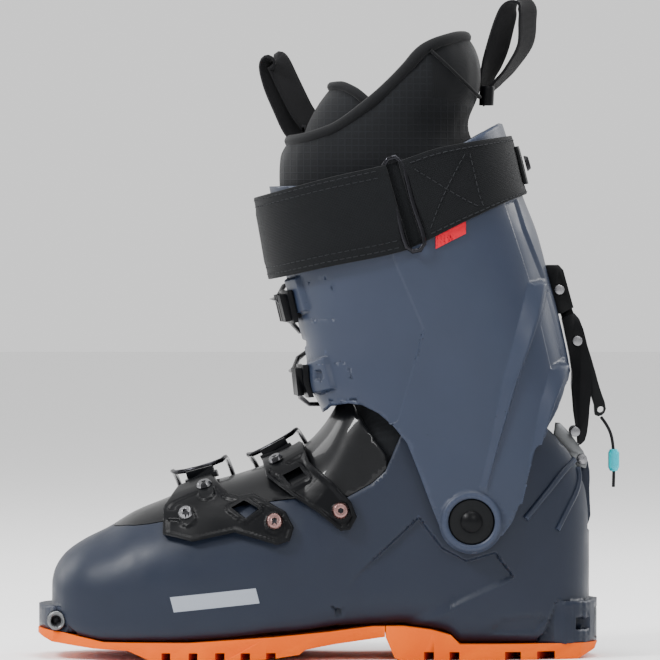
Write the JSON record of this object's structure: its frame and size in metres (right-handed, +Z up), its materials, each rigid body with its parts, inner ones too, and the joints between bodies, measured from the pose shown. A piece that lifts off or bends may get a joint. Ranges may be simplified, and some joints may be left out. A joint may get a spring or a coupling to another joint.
{
  "type": "alpine touring ski boot",
  "caption": "Right-foot touring ski boot with a pivoting buckled cuff, wire-bail buckles, power strap, heel walk lock, inner boot and lugged sole.",
  "frame": {"origin": "on the ground under the cuff's ankle pivot, on the flat underside of the heel sole, on the boot's centre line", "axes": "+X from toe to heel, +Y towards the outer (buckle) side, +Z up"},
  "size_m": [0.3183, 0.1336, 0.3593],
  "materials": {
    "navy_shell_plastic": "moulded, satin dark blue",
    "black_plastic": "moulded, satin black",
    "soft_black_plastic": "soft moulded, dull black",
    "orange_rubber": "lugged, dull orange",
    "steel": "machined, satin",
    "dark_steel": "blackened wire",
    "black_screw": "blackened",
    "board_plastic": "moulded, grey",
    "liner_fabric": "padded, dark grey ripstop",
    "webbing": "woven webbing, black",
    "red_fabric": "coated fabric, red",
    "cord_fabric": "braided, black",
    "turquoise_plastic": "moulded, turquoise"
  },
  "bodies": {
    "shell": {"lower_shell": "navy_shell_plastic", "throat_cover": "soft_black_plastic", "forefoot_outsole": "orange_rubber", "heel_outsole": "orange_rubber", "toe_fitting": "steel", "heel_fitting": "steel", "boot_board": "board_plastic", "liner_foot": "liner_fabric", "heel_catch": "steel", "catch_rivet": "steel", "forefoot_arm_screw": "steel", "instep_arm_screw": "steel", "forefoot_front_screw": "steel", "forefoot_rear_screw": "steel", "instep_top_screw": "steel", "forefoot_arm": "black_plastic", "instep_arm": "black_plastic", "forefoot_buckle_base": "black_plastic", "forefoot_buckle_pin": "steel", "forefoot_ladder": "black_plastic", "instep_buckle_base": "black_plastic", "instep_buckle_pin": "steel", "instep_ladder": "black_plastic"},
    "cuff": {"cuff_shell": "navy_shell_plastic", "pivot_disc_medial": "black_plastic", "pivot_bolt_medial": "black_plastic", "pivot_disc_lateral": "black_plastic", "pivot_bolt_lateral": "black_plastic", "liner_cuff": "liner_fabric", "liner_tongue": "liner_fabric", "rear_pull_loop": "webbing", "front_pull_loop": "webbing", "strap_front": "webbing", "strap_rear": "webbing", "strap_ring": "dark_steel", "strap_tab": "red_fabric", "strap_plate": "black_plastic", "strap_screw": "black_screw", "lock_housing": "black_plastic", "arm_pin": "steel", "lower_cuff_buckle_base": "black_plastic", "lower_cuff_buckle_pin": "steel", "lower_cuff_ladder": "black_plastic", "upper_cuff_buckle_base": "black_plastic", "upper_cuff_buckle_pin": "steel", "upper_cuff_ladder": "black_plastic"},
    "lock_arm": {"lock_arm": "black_plastic", "lever_pin": "steel", "hook_pin": "steel"},
    "release_lever": {"release_lever": "black_plastic", "pull_cord": "cord_fabric", "cord_bead": "turquoise_plastic"},
    "forefoot_lever": {"forefoot_lever": "black_plastic"},
    "forefoot_bail": {"forefoot_bail": "dark_steel"},
    "instep_lever": {"instep_lever": "black_plastic"},
    "instep_bail": {"instep_bail": "dark_steel"},
    "lower_cuff_lever": {"lower_cuff_lever": "black_plastic"},
    "lower_cuff_bail": {"lower_cuff_bail": "dark_steel"},
    "upper_cuff_lever": {"upper_cuff_lever": "black_plastic"},
    "upper_cuff_bail": {"upper_cuff_bail": "dark_steel"}
  },
  "joints": [
    {"name": "cuff_flex", "type": "hinge", "parent": "shell", "child": "cuff", "pos_m": [0, 0, 0.0757], "axis": [0, 1, 0], "range_deg": [-6, 35]},
    {"name": "lock_arm_swing", "type": "hinge", "parent": "cuff", "child": "lock_arm", "pos_m": [0.0488, 0, 0.2008], "axis": [0, -1, 0], "range_deg": [0, 50]},
    {"name": "release_lever_pull", "type": "hinge", "parent": "lock_arm", "child": "release_lever", "pos_m": [0.0586, 0, 0.1728], "axis": [0, -1, 0], "range_deg": [0, 45]},
    {"name": "forefoot_lever_open", "type": "hinge", "parent": "shell", "child": "forefoot_lever", "pos_m": [-0.14186, 0.05049, 0.08397], "axis": [0.9625, -0.0553, 0.2657], "range_deg": [0, 90]},
    {"name": "forefoot_bail_lift", "type": "hinge", "parent": "forefoot_lever", "child": "forefoot_bail", "pos_m": [-0.13814, 0.05736, 0.07193], "axis": [0.9625, -0.0553, 0.2657], "range_deg": [-115, 0]},
    {"name": "instep_lever_open", "type": "hinge", "parent": "shell", "child": "instep_lever", "pos_m": [-0.09975, 0.04481, 0.10079], "axis": [0.9253, -0.0518, 0.3757], "range_deg": [0, 90]},
    {"name": "instep_bail_lift", "type": "hinge", "parent": "instep_lever", "child": "instep_bail", "pos_m": [-0.0947, 0.05181, 0.08932], "axis": [0.9253, -0.0518, 0.3757], "range_deg": [-115, 0]},
    {"name": "lower_cuff_lever_open", "type": "hinge", "parent": "cuff", "child": "lower_cuff_lever", "pos_m": [-0.0723, 0.0558, 0.15135], "axis": [-0.008, 0.0169, 0.9998], "range_deg": [0, 90]},
    {"name": "lower_cuff_bail_lift", "type": "hinge", "parent": "lower_cuff_lever", "child": "lower_cuff_bail", "pos_m": [-0.05852, 0.0598, 0.15139], "axis": [-0.008, 0.0169, 0.9998], "range_deg": [-115, 0]},
    {"name": "upper_cuff_lever_open", "type": "hinge", "parent": "cuff", "child": "upper_cuff_lever", "pos_m": [-0.07962, 0.05554, 0.19146], "axis": [-0.0633, 0.1094, 0.992], "range_deg": [0, 90]},
    {"name": "upper_cuff_bail_lift", "type": "hinge", "parent": "upper_cuff_lever", "child": "upper_cuff_bail", "pos_m": [-0.06609, 0.06034, 0.1918], "axis": [-0.0633, 0.1094, 0.992], "range_deg": [-115, 0]}
  ],
  "couplings": [
    {"joint": "forefoot_bail_lift", "follows": "forefoot_lever_open", "ratio": -1.25},
    {"joint": "instep_bail_lift", "follows": "instep_lever_open", "ratio": -0.8},
    {"joint": "lower_cuff_bail_lift", "follows": "lower_cuff_lever_open", "ratio": -1.25},
    {"joint": "upper_cuff_bail_lift", "follows": "upper_cuff_lever_open", "ratio": -1.25}
  ]
}
